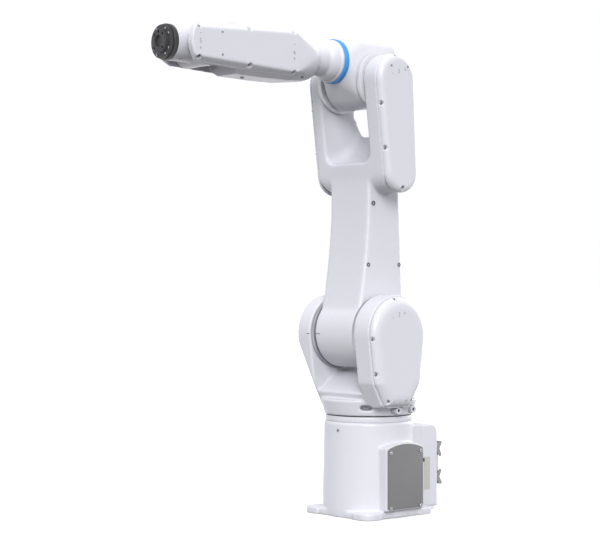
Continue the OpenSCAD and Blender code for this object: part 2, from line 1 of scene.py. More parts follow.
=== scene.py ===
# %% [markdown]
# # A white six-axis robot arm
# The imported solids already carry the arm's true sizes, its split into pieces and its joints.
# This script gives them their looks: soft cast edges, powder-coated paint, screws in their
# pockets, printed axis marks, and a plain studio around them. Everything is in metres and in
# the same frame as the solids, so each new piece sits where the solids say.

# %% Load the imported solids
import json
import math

import bmesh
import bpy
import numpy as np
from mathutils import Matrix, Vector
from mathutils.bvhtree import BVHTree


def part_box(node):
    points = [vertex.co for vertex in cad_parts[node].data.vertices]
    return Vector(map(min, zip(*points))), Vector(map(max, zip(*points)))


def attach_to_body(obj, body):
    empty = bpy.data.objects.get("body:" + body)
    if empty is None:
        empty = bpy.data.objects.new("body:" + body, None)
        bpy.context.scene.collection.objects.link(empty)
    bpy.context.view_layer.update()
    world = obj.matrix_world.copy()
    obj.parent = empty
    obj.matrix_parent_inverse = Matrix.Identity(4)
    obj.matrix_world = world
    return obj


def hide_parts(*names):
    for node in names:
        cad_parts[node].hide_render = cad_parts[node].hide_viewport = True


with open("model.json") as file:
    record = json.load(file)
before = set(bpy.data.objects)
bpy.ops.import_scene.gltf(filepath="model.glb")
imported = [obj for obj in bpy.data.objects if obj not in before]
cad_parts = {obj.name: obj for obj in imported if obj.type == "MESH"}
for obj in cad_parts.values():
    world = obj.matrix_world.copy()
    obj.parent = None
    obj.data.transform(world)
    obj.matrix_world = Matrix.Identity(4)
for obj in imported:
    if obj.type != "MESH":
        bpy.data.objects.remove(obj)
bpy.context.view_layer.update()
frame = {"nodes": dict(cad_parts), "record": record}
MM = 0.001
X, Y, Z = range(3)
BEHAVIOUR = frame["record"]["behaviour"]
BODY_OF = {node: body for body, nodes in BEHAVIOUR["bodies"].items() for node in nodes}
AXIS_AT = {joint["name"]: Vector(joint["pos_m"]) for joint in BEHAVIOUR["joints"]}
J2, J3, J5, J6 = (AXIS_AT[name] for name in ("j2_shoulder", "j3_elbow", "j5_bend", "j6_tool"))

# %% [markdown]
# ## Finishes
# A finish is one Principled shader and the few nodes that vary it. Shader sums are easier to
# read as Python sums, so a small class wraps a socket and turns each operator into a Math node.
# Patterns read Object coordinates: every piece sits at the origin, so they neither slide nor
# turn when the arm moves.

# %% Shader sums
class Value:
    """A shader socket that can be added and multiplied."""

    def __init__(self, finish, socket):
        self.finish, self.socket = finish, socket

    def _sum(self, operation, other):
        return self.finish.node("ShaderNodeMath", {"operation": operation}, {0: self, 1: other})

    def __add__(self, other):
        return self._sum("ADD", other)

    def __mul__(self, other):
        return self._sum("MULTIPLY", other)

    __radd__, __rmul__ = __add__, __mul__


class Finish:
    """One material with a Principled shader; plain sockets are set by name."""

    def __init__(self, name, colour, **plain):
        self.material = bpy.data.materials.new(name)
        self.material.use_nodes = True
        self.material.diffuse_color = (*colour, 1)
        self.tree = self.material.node_tree
        self.tree.nodes.clear()
        self.shader = self.tree.nodes.new("ShaderNodeBsdfPrincipled")
        output = self.tree.nodes.new("ShaderNodeOutputMaterial")
        self.tree.links.new(self.shader.outputs[0], output.inputs[0])
        self.shader.inputs["Base Color"].default_value = (*colour, 1)
        for socket, value in plain.items():
            self.shader.inputs[socket.replace("_", " ")].default_value = value

    def node(self, kind, settings=None, sockets=None, output=0):
        """Adds a node: its settings first, then the values or links of its sockets."""
        made = self.tree.nodes.new(kind)
        for setting, value in (settings or {}).items():
            setattr(made, setting, value)
        for socket, value in (sockets or {}).items():
            if isinstance(value, Value):
                self.tree.links.new(value.socket, made.inputs[socket])
            else:
                made.inputs[socket].default_value = value
        return Value(self, made.outputs[output])

    def feed(self, socket, value):
        self.tree.links.new(value.socket, self.shader.inputs[socket])

    def place(self):
        return self.node("ShaderNodeTexCoord", output="Object")

    def noise(self, scale, detail=2.0):
        return self.node("ShaderNodeTexNoise", {}, {
            "Vector": self.place(), "Scale": scale, "Detail": detail})

    def tint(self, colour_a, colour_b, amount):
        """Base colour between two colours."""
        factor, first, second, result = 0, 6, 7, 2
        self.feed("Base Color", self.node("ShaderNodeMix", {"data_type": "RGBA"}, {
            factor: amount, first: (*colour_a, 1), second: (*colour_b, 1)}, result))

    def bump(self, height, strength, depth):
        self.feed("Normal", self.node("ShaderNodeBump", {}, {
            "Height": height, "Strength": strength, "Distance": depth}))


# %% [markdown]
# The castings are powder coated. Such paint is never quite even: its gloss drifts a little over
# a hand's width, and close up it has the fine dimples of orange peel. Both are noise, one coarse
# and fed to Roughness and a faint tint, one fine and fed to a Bump. A painted image could do the
# same, but it would need unwrapped faces, and noise in space runs over every edge without a seam.

# %% Paint
DRIFT_SCALE, PEEL_SCALE = 14.0, 650.0
PEEL_DEPTH = 0.2 * MM
FADED = 0.975


def powder_coat(name, colour, gloss_low, gloss_high, peel):
    """Paint whose roughness drifts between two values; peel is the strength of its dimples."""
    finish = Finish(name, colour, Specular_IOR_Level=0.5)
    drift = finish.noise(DRIFT_SCALE)
    finish.feed("Roughness", gloss_low + (gloss_high - gloss_low) * drift)
    finish.tint(colour, [FADED * c for c in colour], drift)
    finish.bump(finish.noise(PEEL_SCALE, 1.0), peel, PEEL_DEPTH)
    return finish.material


BODY_WHITE = powder_coat("body_white", (0.575, 0.575, 0.612), 0.30, 0.42, 0.10)
PANEL_GREY = powder_coat("panel_grey", (0.150, 0.150, 0.150), 0.52, 0.64, 0.14)
print("paints:", BODY_WHITE.name, PANEL_GREY.name)

# %% [markdown]
# Rings and flanges come off a lathe, whose tool leaves fine grooves round the axis. One-dimensional
# noise that runs with the distance from the axis gives such grooves at random depths, where a Wave
# texture would space them too evenly. It feeds both the gloss and a slight bump. Screws, latches and
# moulded plastic have no such direction and take plain noise.

# %% Metal and plastic
GROOVE_SCALE, GROOVE_DEPTH = 2600.0, 0.05 * MM
GROOVE_BUMP, GROOVE_DULL = 0.12, 0.18
GRAIN_DULL, GRAIN_SHADE = 0.16, 0.85
STEEL_GRAIN, PLASTIC_GRAIN = 500.0, 240.0


def turned(name, colour, metallic, rough, centre, axis):
    """Lathe-turned metal about an axis through a point."""
    finish = Finish(name, colour, Metallic=metallic)
    across = Vector((1, 1, 1)) - Vector(axis)
    arm = finish.node("ShaderNodeVectorMath", {"operation": "SUBTRACT"}, {0: finish.place(), 1: centre})
    arm = finish.node("ShaderNodeVectorMath", {"operation": "MULTIPLY"}, {0: arm, 1: across})
    radius = finish.node("ShaderNodeVectorMath", {"operation": "LENGTH"}, {0: arm}, "Value")
    groove = finish.node("ShaderNodeTexNoise", {"noise_dimensions": "1D"}, {
        "W": radius, "Scale": GROOVE_SCALE})
    finish.feed("Roughness", rough + GROOVE_DULL * groove)
    finish.bump(groove, GROOVE_BUMP, GROOVE_DEPTH)
    return finish.material


def grained(name, colour, metallic, rough, grain):
    """Metal or plastic with an even, fine grain."""
    finish = Finish(name, colour, Metallic=metallic)
    speck = finish.noise(grain)
    finish.feed("Roughness", rough + GRAIN_DULL * speck)
    finish.tint(colour, [GRAIN_SHADE * c for c in colour], speck)
    return finish.material


# Colour, metallic, least roughness, then the centre and axis of the grooves or the scale of the grain.
HUB_STEEL = turned("hub_steel", (0.34, 0.34, 0.36), 0.85, 0.30, J2, (0, 1, 0))
ELBOW_STEEL = turned("elbow_steel", (0.58, 0.58, 0.60), 0.25, 0.36, J3, (0, 1, 0))
FLANGE_BLACK = turned("flange_black", (0.026, 0.026, 0.027), 0.2, 0.38, J6, (1, 0, 0))
SCREW_STEEL = grained("screw_steel", (0.50, 0.50, 0.52), 1.0, 0.24, STEEL_GRAIN)
OXIDE_STEEL = grained("oxide_steel", (0.115, 0.115, 0.12), 0.5, 0.36, STEEL_GRAIN)
SATIN_STEEL = grained("satin_steel", (0.27, 0.27, 0.28), 0.35, 0.40, STEEL_GRAIN)
DARK_STEEL = grained("dark_steel", (0.055, 0.055, 0.06), 0.6, 0.40, STEEL_GRAIN)
PLATE_STEEL = grained("plate_steel", (0.52, 0.52, 0.54), 1.0, 0.30, 180.0)
CAST_GREY = grained("connector_grey", (0.27, 0.27, 0.265), 0.45, 0.38, 350.0)
PLUG_BLACK = grained("insert_plastic", (0.030, 0.030, 0.032), 0.0, 0.46, PLASTIC_GRAIN)
RING_BLUE = grained("accent_blue", (0.026, 0.27, 0.70), 0.0, 0.26, PLASTIC_GRAIN)
MARK_INK = grained("mark_ink", (0.33, 0.33, 0.35), 0.0, 0.52, PLASTIC_GRAIN)
LINE_INK = grained("line_ink", (0.075, 0.075, 0.08), 0.0, 0.52, PLASTIC_GRAIN)
PALE_PLATE = grained("pale_plate", (0.47, 0.46, 0.42), 0.0, 0.44, 160.0)
GOLD_PIN = grained("contact_gold", (0.72, 0.50, 0.17), 1.0, 0.20, STEEL_GRAIN)
print("finishes:", len(bpy.data.materials))

# %% [markdown]
# ## Castings
# A sand casting has no knife edges: outside corners are eased and inside corners run into each
# other. Bevels would need clean edge loops, which boolean solids rarely have. Instead a copy of
# each solid is rebuilt on an even grid and its points are drawn a few times towards their
# neighbours. Flat faces stay flat, and edges and corners melt into fillets whose radius grows
# with the number of passes. Faces where two castings meet are held still, so the joint stays a
# fine line. In the end half of the triangles are taken out, mostly from the flats.

# %% Copies of the solids
DRESSED = {}
MERGED_WITHIN = 0.002 * MM


def solid_copy(node):
    """The node's triangles as one closed shell."""
    shell = bmesh.new()
    shell.from_mesh(frame["nodes"][node].data)
    bmesh.ops.remove_doubles(shell, verts=shell.verts, dist=MERGED_WITHIN)
    return shell


def as_mesh(shell, name):
    """The shell as a mesh; the shell itself is freed."""
    mesh = bpy.data.meshes.new(name)
    shell.to_mesh(mesh)
    shell.free()
    return mesh


def placed(name, data):
    obj = bpy.data.objects.new(name, data)
    bpy.context.collection.objects.link(obj)
    return obj


def finished(rough, name):
    """The evaluated mesh of an object with modifiers; the object itself is removed."""
    mesh = bpy.data.meshes.new_from_object(rough.evaluated_get(bpy.context.evaluated_depsgraph_get()))
    mesh.name = name
    bpy.data.objects.remove(rough)
    return mesh


def dress(obj, node, material):
    """Hands a finished piece to the body of the solid it stands for."""
    obj.data.materials.clear()
    obj.data.materials.append(material)
    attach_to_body(obj, BODY_OF[node])
    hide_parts(node)
    DRESSED[node] = obj


# %% Melt a solid into a casting
PULL, MELT_PASSES, KEPT_SHARE = 0.5, 90, 0.5
POCKET_R, POCKET_FREE = 4.5 * MM, 0.1


def relaxed(points, edges, passes, free):
    """Draws points towards their neighbours; free is 1 where a point may move and 0 where not."""
    ends = np.concatenate([edges[:, 0], edges[:, 1]])
    others = np.concatenate([edges[:, 1], edges[:, 0]])
    degree = np.bincount(ends, minlength=len(points))[:, None]
    for _ in range(passes):
        sums = [np.bincount(ends, points[others, axis], len(points)) for axis in (X, Y, Z)]
        points = points + PULL * free[:, None] * (np.stack(sums, 1) / degree - points)
    return points


def freedom(points, seams, reach, pockets):
    """How freely each point may move: not at a seam, a little at a pocket, fully beyond the reach."""
    free = np.ones(len(points))
    for axis, place in seams:
        free = np.minimum(free, np.clip(np.abs(points[:, axis] - place) / reach, 0.0, 1.0))
    for x, z in pockets:
        away = np.hypot(points[:, X] - x, points[:, Z] - z) - POCKET_R
        free = np.minimum(free, np.clip(away / reach, POCKET_FREE, 1.0))
    return free


def cast(node, grain, passes, seams=(), reach=4 * MM, pockets=(), melts=()):
    """A soft-edged copy of a solid. Edges stay crisp at seams, which are (axis, place) planes, and
    round pockets, which run along Y and are (x, z) places. melts are (centre, radius) balls where
    the casting runs together more than elsewhere."""
    rough = placed(node + "_rough", as_mesh(solid_copy(node), node + "_rough"))
    grid = rough.modifiers.new("grid", "REMESH")
    grid.mode, grid.voxel_size = "VOXEL", grain
    done = finished(rough, node + "_cast")
    points = np.empty(3 * len(done.vertices))
    done.vertices.foreach_get("co", points)
    points = points.reshape(-1, 3)
    edges = np.empty(2 * len(done.edges), np.int64)
    done.edges.foreach_get("vertices", edges)
    edges = edges.reshape(-1, 2)
    points = relaxed(points, edges, passes, freedom(points, seams, reach, pockets))
    for centre, radius in melts:
        near = 1.0 - np.linalg.norm(points - np.array(centre), axis=1) / radius
        points = relaxed(points, edges, MELT_PASSES, np.clip(2.0 * near, 0.0, 1.0))
    done.vertices.foreach_set("co", points.ravel())
    dense = placed(node + "_rough", done)
    dense.modifiers.new("thin out the flats", "DECIMATE").ratio = KEPT_SHARE
    done = finished(dense, node + "_cast")
    done.shade_smooth()
    dress(placed(node + "_cast", done), node, BODY_WHITE)
    print(node, "cast:", sum(len(p.vertices) - 2 for p in done.polygons), "triangles")


# %% [markdown]
# Each casting gets a grain that suits its size, a number of passes that suits its fillets, and the
# planes where it meets its neighbours. The places of the screw pockets are given in millimetres
# ahead of and above the nearest axis, as a drawing would give them.

# %% Castings of the base and the shoulder
def low(node, axis):
    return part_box(node)[0][axis]


def high(node, axis):
    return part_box(node)[1][axis]


def inner(cover):
    """The plane of a side cover's inner face."""
    return (Y, low(cover, Y) if cover.endswith("left") else high(cover, Y))


def around(axis_at, offsets):
    """Places (x, z) from distances in mm ahead of and above an axis."""
    return [(axis_at.x + ahead * MM, axis_at.z + up * MM) for ahead, up in offsets]


SHOULDER_UPPER = around(J2, [(65.5, -9), (57, -72), (10, 64.5), (-57, -53.4)])
SHOULDER_LOWER = around(J2, [(-30, -122), (30, -122)])
cast("base_casting", grain=1.5 * MM, passes=6, reach=3 * MM, seams=[
    (Z, 0.0), (X, low("base_casting", X)), inner("side_panel_left"), inner("side_panel_right"),
    (Z, high("base_casting", Z))])
cast("connector_box", grain=1.6 * MM, passes=12, seams=[(X, high("connector_box", X))])
cast("turret_casting", grain=1.6 * MM, passes=12, seams=[
    inner("shoulder_cover_left"), inner("shoulder_cover_right"), (Z, low("turret_casting", Z))])
cast("shoulder_cover_left", grain=1.1 * MM, passes=10, seams=[inner("shoulder_cover_left")],
     pockets=SHOULDER_UPPER + SHOULDER_LOWER)
cast("shoulder_cover_right", grain=1.1 * MM, passes=10, seams=[inner("shoulder_cover_right")],
     pockets=SHOULDER_UPPER)

# %% Castings of the lower arm and the elbow
ELBOW_RING = around(J3, [
    (3, 43.5), (-12, -197), (39.05, -46.8), (-46.3, -39.6), (29.2, -126.1), (-49.9, -119.4)])
RIM_X, RIM_OUT, RIM_Z, RIM_R = -0.027, 0.053, 0.735, 24 * MM
WINDOW_RIMS = [((RIM_X, side * RIM_OUT, RIM_Z), RIM_R) for side in (-1, 1)]
cast("lower_arm_casting", grain=1.9 * MM, passes=26, melts=WINDOW_RIMS, seams=[
    inner("elbow_cover_left"), inner("elbow_cover_right")])
for cover in ("elbow_cover_left", "elbow_cover_right"):
    cast(cover, grain=1.0 * MM, passes=10, seams=[inner(cover)], pockets=ELBOW_RING)
cast("elbow_casting", grain=1.4 * MM, passes=16, seams=[(X, high("elbow_casting", X))])
cast("neck", grain=1.0 * MM, passes=8, seams=[(X, low("neck", X)), (X, high("neck", X))])

# %% Castings of the forearm and the wrist
SPLIT_X = low("forearm_casting", X)
FOREARM_AXIS = Vector((0, 0, J5.z))
FOREARM_ROWS = around(FOREARM_AXIS, [
    (x, side * z) for x, z in ((225, 36.2), (324, 31.7), (433.3, 26.8)) for side in (-1, 1)])
cast("forearm_casting", grain=1.3 * MM, passes=7, seams=[
    (X, SPLIT_X), inner("forearm_cover_left"), inner("forearm_cover_right")])
for cover in ("forearm_cover_left", "forearm_cover_right"):
    cast(cover, grain=1.0 * MM, passes=24, seams=[inner(cover), (X, SPLIT_X)], pockets=FOREARM_ROWS)
cast("forearm_collar", grain=1.3 * MM, passes=10, seams=[(X, high("forearm_collar", X))])
cast("wrist_housing", grain=1.0 * MM, passes=6, seams=[(X, low("reducer_ring", X))])

# %% [markdown]
# ## Turned, folded and moulded pieces
# Rings, flanges, plates and the connector are machined, so their faces are true and only their
# edges are broken by a fine chamfer. Merged and cleared of the lines inside flat faces, their
# solids are tidy enough for a Bevel modifier.

# %% Break the edges of a machined piece
FLAT_TURN, EDGE_TURN, SHARP_TURN = (math.radians(turn) for turn in (0.4, 40, 35))
ALONG_Y = 0.9
CORNER_STEPS, CHAMFER_STEPS = 6, 2


def machined(node, material, edge, corner=0.0):
    """A copy with broken edges. corner is the radius of its corners as seen along Y."""
    shell = solid_copy(node)
    bmesh.ops.dissolve_limit(shell, angle_limit=FLAT_TURN, verts=shell.verts, edges=shell.edges)
    if corner:
        posts = [e for e in shell.edges
                 if abs((e.verts[0].co - e.verts[1].co).normalized().y) > ALONG_Y
                 and e.calc_face_angle(0.0) > EDGE_TURN]
        bmesh.ops.bevel(shell, geom=posts, offset=corner, segments=CORNER_STEPS, profile=0.5,
                        affect="EDGES")
    rough = placed(node + "_rough", as_mesh(shell, node + "_rough"))
    chamfer = rough.modifiers.new("chamfer", "BEVEL")
    chamfer.width, chamfer.segments = edge, CHAMFER_STEPS
    chamfer.limit_method, chamfer.angle_limit = "ANGLE", EDGE_TURN
    done = finished(rough, node + "_machined")
    done.shade_smooth()
    done.set_sharp_from_angle(angle=SHARP_TURN)
    dress(placed(node + "_machined", done), node, material)


# Each row has the finish, the width of the chamfer and sometimes the corner radius, both in mm.
MACHINED = {
    "bearing_ring": (BODY_WHITE, 0.8),
    "side_panel_left": (PANEL_GREY, 0.6, 5), "side_panel_right": (PANEL_GREY, 0.6, 5),
    "connector_plate": (PLATE_STEEL, 0.5), "connector_frame": (CAST_GREY, 0.5),
    "connector_insert": (PLUG_BLACK, 0.4),
    "latch_upper": (CAST_GREY, 0.4), "latch_lower": (CAST_GREY, 0.4),
    "socket_plugs": (BODY_WHITE, 0.7),
    "hub_flange_left": (HUB_STEEL, 0.5), "hub_flange_right": (HUB_STEEL, 0.5),
    "elbow_flange_left": (ELBOW_STEEL, 0.5), "elbow_flange_right": (ELBOW_STEEL, 0.5),
    "accent_ring": (RING_BLUE, 1.6), "reducer_ring": (FLANGE_BLACK, 1.0),
    "tool_flange": (FLANGE_BLACK, 0.5)}
for node, (material, *edges) in MACHINED.items():
    machined(node, material, *(edge * MM for edge in edges))
print("machined pieces:", len(MACHINED))

# %% [markdown]
# ## Screws
# Every cover is held by cap screws that stand in round pockets. One Geometry Nodes tree makes a
# head and sets it on each point of a small mesh. Each point carries its own facing and head radius
# as attributes, so one tree serves every screw on the arm. The head is what a cylinder and a cone
# share, which gives it a chamfer, and a hexagon is cut from it for the key. The walls and floor of
# that hexagon get a darker finish than the head, which is painted shade in the socket.

# %% Build and run a tree
def new_tree(name, inputs):
    """An empty tree with a geometry input, named inputs of the given kinds and a geometry output."""
    tree = bpy.data.node_groups.new(name, "GeometryNodeTree")
    sockets = {}
    for label, kind in [("Geometry", "Geometry"), *inputs]:
        made = tree.interface.new_socket(label, in_out="INPUT", socket_type="NodeSocket" + kind)
        sockets[label] = made.identifier
    tree.interface.new_socket("Geometry", in_out="OUTPUT", socket_type="NodeSocketGeometry")
    given = tree.nodes.new("NodeGroupInput")

    def add(kind, settings=None, links=None):
        made = tree.nodes.new(kind)
        for setting, value in (settings or {}).items():
            setattr(made, setting, value)
        for socket, value in (links or {}).items():
            if isinstance(value, bpy.types.NodeSocket):
                tree.links.new(value, made.inputs[socket])
            else:
                made.inputs[socket].default_value = value
        return made

    return tree, sockets, given.outputs, add


def grow(tree, sockets, mesh, name, values):
    """Runs a tree on a mesh and returns the plain result. values are keyed by the inputs' labels."""
    rough = placed(name + "_points", mesh)
    modifier = rough.modifiers.new(name, "NODES")
    modifier.node_group = tree
    for label, value in values.items():
        modifier[sockets[label]] = value
    return finished(rough, name)


# %% A head of radius one
cap_tree, cap_sockets, given, add = new_tree("cap_screws", [
    ("Head height", "Float"), ("Chamfer", "Float"), ("Socket width", "Float"), ("Socket depth", "Float"),
    ("Head finish", "Material"), ("Socket shade", "Material")])
CAP_SIDES, HEX_SIDES = 28, 6
# The cylinder and the cone end this far past each other, so that no two faces coincide.
LAP = 0.1


def total(a, b, operation="ADD"):
    return add("ShaderNodeMath", {"operation": operation}, {0: a, 1: b}).outputs[0]


def cone(sides, top, bottom, depth):
    return add("GeometryNodeMeshCone", links={
        "Vertices": sides, "Radius Top": top, "Radius Bottom": bottom, "Depth": depth}).outputs[0]


def at_height(geometry, height):
    offset = add("ShaderNodeCombineXYZ", links={"Z": height}).outputs[0]
    return add("GeometryNodeTransform", links={"Geometry": geometry, "Translation": offset}).outputs[0]


def coated(geometry, finish):
    return add("GeometryNodeSetMaterial", links={"Geometry": geometry, "Material": finish}).outputs[0]


tall = total(given["Head height"], LAP)
rim = total(1.0, given["Chamfer"], "SUBTRACT")
head = add("GeometryNodeMeshBoolean", {"operation": "INTERSECT"})
for part in (cone(CAP_SIDES, 1.0, 1.0, tall), at_height(cone(CAP_SIDES, rim, total(rim, tall), tall), -LAP)):
    cap_tree.links.new(part, head.inputs["Mesh 2"])
# The key's faces take the darker socket finish, which is painted shade inside the hexagon.
key = coated(cone(HEX_SIDES, given["Socket width"], given["Socket width"], 1.0), given["Socket shade"])
key = at_height(key, total(given["Head height"], given["Socket depth"], "SUBTRACT"))
holed = add("GeometryNodeMeshBoolean", {"operation": "DIFFERENCE"}, {
    "Mesh 1": coated(head.outputs[0], given["Head finish"]), "Mesh 2": key})
print("tree:", cap_tree.name, "inputs:", list(cap_sockets))

# %% Set the head on every point
facing = add("GeometryNodeInputNamedAttribute", {"data_type": "FLOAT_VECTOR"}, {"Name": "facing"}).outputs[0]
radius = add("GeometryNodeInputNamedAttribute", {"data_type": "FLOAT"}, {"Name": "radius"}).outputs[0]
turn = add("FunctionNodeAlignRotationToVector", {"axis": "Z"}, {"Vector": facing}).outputs[0]
spread = add("GeometryNodeInstanceOnPoints", links={
    "Points": given["Geometry"], "Instance": holed.outputs[0], "Rotation": turn, "Scale": radius})
real = add("GeometryNodeRealizeInstances", links={"Geometry": spread.outputs[0]}).outputs[0]
inside = add("GeometryNodeMaterialSelection", links={"Material": given["Socket shade"]}).outputs[0]
outside = add("FunctionNodeBooleanMath", {"operation": "NOT"}, {0: inside}).outputs[0]
steel = add("GeometryNodeSetMaterial", links={
    "Geometry": real, "Selection": outside, "Material": given["Head finish"]}).outputs[0]
add("NodeGroupOutput", links={0: steel})
print("nodes in the tree:", len(cap_tree.nodes))

# %% [markdown]
# Screws in pockets stand on floors whose depth the solids give. The others are given by the place
# where they are seen, and a ray along their facing finds the face of the dressed casting there, so
# a screw keeps its seat when a casting changes.

# %% Find the seats
LEFT, RIGHT = Vector((0, 1, 0)), Vector((0, -1, 0))
FRONT, BACK = Vector((1, 0, 0)), Vector((-1, 0, 0))
UP, DOWN = Vector((0, 0, 1)), Vector((0, 0, -1))
OUTSIDE = 120 * MM
POCKET_HEAD_R, TUCK = 2.6, 2.6 * MM
SKINS = {}
screws = {}


def surface(node, place, facing):
    """Where a line along facing first meets the dressed piece, from outside."""
    if node not in SKINS:
        mesh = DRESSED[node].data
        SKINS[node] = BVHTree.FromPolygons(
            [v.co.copy() for v in mesh.vertices], [p.vertices[:] for p in mesh.polygons])
    return SKINS[node].ray_cast(place + OUTSIDE * facing, -facing)[0]


def seated(node, seat, facing, radius, finish):
    screws.setdefault((BODY_OF[node], finish), []).append((seat, facing, radius * MM))


def screw(node, place, facing, radius, sunk, finish="satin"):
    """A screw on the face that a ray finds, sunk into it. radius and sunk are in mm."""
    facing = Vector(facing).normalized()
    seat = surface(node, Vector(place), facing)
    if seat is None:
        print("no seat for a screw on", node)
    else:
        seated(node, seat - sunk * MM * facing, facing, radius, finish)


def pocket_screws(cover, places, facing, floor, spine):
    """Screws on pocket floors, which lie a height in mm above the cover's inner face. Each stands
    against the side of its pocket that is nearer to the cover's spine, a line between two points."""
    start, end = (Vector((x, 0, z)) for x, z in spine)
    along = end - start
    for x, z in places:
        place = Vector((x, 0, z))
        share = min(max((place - start).dot(along) / along.length_squared, 0.0), 1.0)
        inward = (start + share * along - place).normalized()
        seat = place + TUCK * inward + (inner(cover)[1] + floor * MM * facing.y) * LEFT
        seated(cover, seat, facing, POCKET_HEAD_R, "satin")


# %% Screws of the covers and the beam
SHOULDER_SPINE = around(J2, [(0, 0), (0, -90)])
ELBOW_SPINE = around(J3, [(0, 0), (-12, -160)])
FOREARM_SPINE = around(FOREARM_AXIS, [(200, 0), (420, 0)])
RIGHT_SHOULDER = [SHOULDER_UPPER[k] for k in (0, 2)]
# Heights of the pocket floors, in mm above the inner face of the cover.
UPPER_FLOOR, LOWER_FLOOR, ELBOW_FLOOR, FOREARM_FLOOR = 2, 7, 3, 2
# A screw's two numbers are its head radius and its depth in the face, in mm.
WRIST_PAIR_X, WRIST_PAIR_UP, WRIST_SCREW = 385.8 * MM, (19.6, -18.6), (1.9, 0.7)
COLLAR_SCREW_X, COLLAR_OUT, COLLAR_DOWN, COLLAR_SCREW = 190 * MM, 0.6, -0.8, (3.0, 1.4)
ELBOW_PAIR, ELBOW_SCREW = around(J3, [(18, 22.4), (-22.8, 22.9)]), (2.0, 0.7)
# Screws of the beam have x, z and head radius in mm, and one depth.
BEAM_SCREWS, BEAM_SUNK = ((38.6, 572, 4.4), (50.5, 460, 3.9), (-27, 460, 3.9)), 2.4
pocket_screws("shoulder_cover_left", SHOULDER_UPPER, LEFT, UPPER_FLOOR, SHOULDER_SPINE)
pocket_screws("shoulder_cover_left", SHOULDER_LOWER, LEFT, LOWER_FLOOR, SHOULDER_SPINE)
pocket_screws("shoulder_cover_right", RIGHT_SHOULDER, RIGHT, UPPER_FLOOR, SHOULDER_SPINE)
for facing, side in ((LEFT, "left"), (RIGHT, "right")):
    pocket_screws("elbow_cover_" + side, ELBOW_RING, facing, ELBOW_FLOOR, ELBOW_SPINE)
    pocket_screws("forearm_cover_" + side, FOREARM_ROWS, facing, FOREARM_FLOOR, FOREARM_SPINE)
    for up in WRIST_PAIR_UP:
        screw("forearm_cover_" + side, (WRIST_PAIR_X, 0, J5.z + up * MM), facing, *WRIST_SCREW)
    for x, z, head_r in BEAM_SCREWS:
        screw("lower_arm_casting", (x * MM, 0, z * MM), facing, head_r, BEAM_SUNK, "oxide")
    slanted = (0, COLLAR_OUT * facing.y, COLLAR_DOWN)
    screw("forearm_collar", (COLLAR_SCREW_X, 0, J5.z), slanted, *COLLAR_SCREW)
for x, z in ELBOW_PAIR:
    screw("elbow_cover_left", (x, 0, z), LEFT, *ELBOW_SCREW)
print("screws:", {" ".join(kind): len(seats) for kind, seats in screws.items()})

# %% Screws of the base, the elbow top and the flange
PANEL_IN, PANEL_ROWS, PANEL_SCREW = 6 * MM, (20 * MM, 120 * MM), (2.8, 0.8)
PLATE_IN, PLATE_SCREW = 7 * MM, (2.8, 0.6)
FRAME_IN_Y, FRAME_IN_Z, FRAME_SCREW = 3 * MM, 4 * MM, (1.6, 0.4)
DISC_ANGLES, DISC_R, DISC_SCREW = (30, 60, 120, 150, 210, 240, 300, 330), 24.2, (1.9, 0.6)
REAR_X = -60 * MM
# Each of these has its place, its facing, its head radius and its depth.
SINGLE_SCREWS = (
    ("base_casting", (0, 6 * MM, 158 * MM), FRONT, 2.6, 0.8),
    ("elbow_casting", (64 * MM, 0, J5.z), UP, 3.2, 1.0),
    ("forearm_casting", (304 * MM, 0, J5.z), UP, 3.2, 1.0),
    ("forearm_casting", (304 * MM, 0, J5.z), DOWN, 3.2, 1.0),
    ("wrist_housing", (447 * MM, 12 * MM, J5.z), DOWN, 2.2, 0.6))
for facing, panel in ((LEFT, "side_panel_left"), (RIGHT, "side_panel_right")):
    for z in PANEL_ROWS:
        for x in (low(panel, X) + PANEL_IN, high(panel, X) - PANEL_IN):
            screw(panel, (x, 0, z), facing, *PANEL_SCREW, "bright")
for side in (-1, 1):
    y = side * (high("connector_plate", Y) - PLATE_IN)
    for z in (low("connector_plate", Z) + PLATE_IN, high("connector_plate", Z) - PLATE_IN):
        screw("connector_plate", (REAR_X, y, z), BACK, *PLATE_SCREW, "bright")
for y in (low("connector_frame", Y) + FRAME_IN_Y, high("connector_frame", Y) - FRAME_IN_Y):
    for z in (low("connector_frame", Z) + FRAME_IN_Z, high("connector_frame", Z) - FRAME_IN_Z):
        screw("connector_frame", (REAR_X, y, z), BACK, *FRAME_SCREW, "bright")
for single in SINGLE_SCREWS:
    screw(*single)
for angle in DISC_ANGLES:
    spoke = Vector((0, math.cos(math.radians(angle)), math.sin(math.radians(angle)))) * DISC_R * MM
    screw("tool_flange", J6 + spoke, FRONT, *DISC_SCREW, "bright")
print("screws:", sum(len(seats) for seats in screws.values()))

# %% Grow the heads
# Shares of the head's radius.
CAP = {"Head height": 0.9, "Chamfer": 0.12, "Socket width": 0.52, "Socket depth": 0.55}
# Each kind has the head's finish and a darker one for its socket, which is painted shade.
FINISH_AND_SOCKET_SHADE = {"oxide": (OXIDE_STEEL, DARK_STEEL), "satin": (SATIN_STEEL, OXIDE_STEEL),
               "bright": (SCREW_STEEL, DARK_STEEL)}


def attach(obj, body):
    """Lets a piece ride on a body."""
    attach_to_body(obj, body)


for (body, finish), seats in screws.items():
    name = body + "_" + finish + "_screws"
    points = bpy.data.meshes.new(name + "_seats")
    points.from_pydata([seat for seat, _, _ in seats], [], [])
    points.attributes.new("facing", "FLOAT_VECTOR", "POINT").data.foreach_set(
        "vector", [c for _, way, _ in seats for c in way])
    points.attributes.new("radius", "FLOAT", "POINT").data.foreach_set("value", [r for _, _, r in seats])
    head_finish, socket_shade = FINISH_AND_SOCKET_SHADE[finish]
    heads = placed(name, grow(cap_tree, cap_sockets, points, name, {
        **CAP, "Head finish": head_finish, "Socket shade": socket_shade}))
    attach(heads, body)
    print(heads.name, len(heads.data.polygons), "faces,", [m.name for m in heads.data.materials])

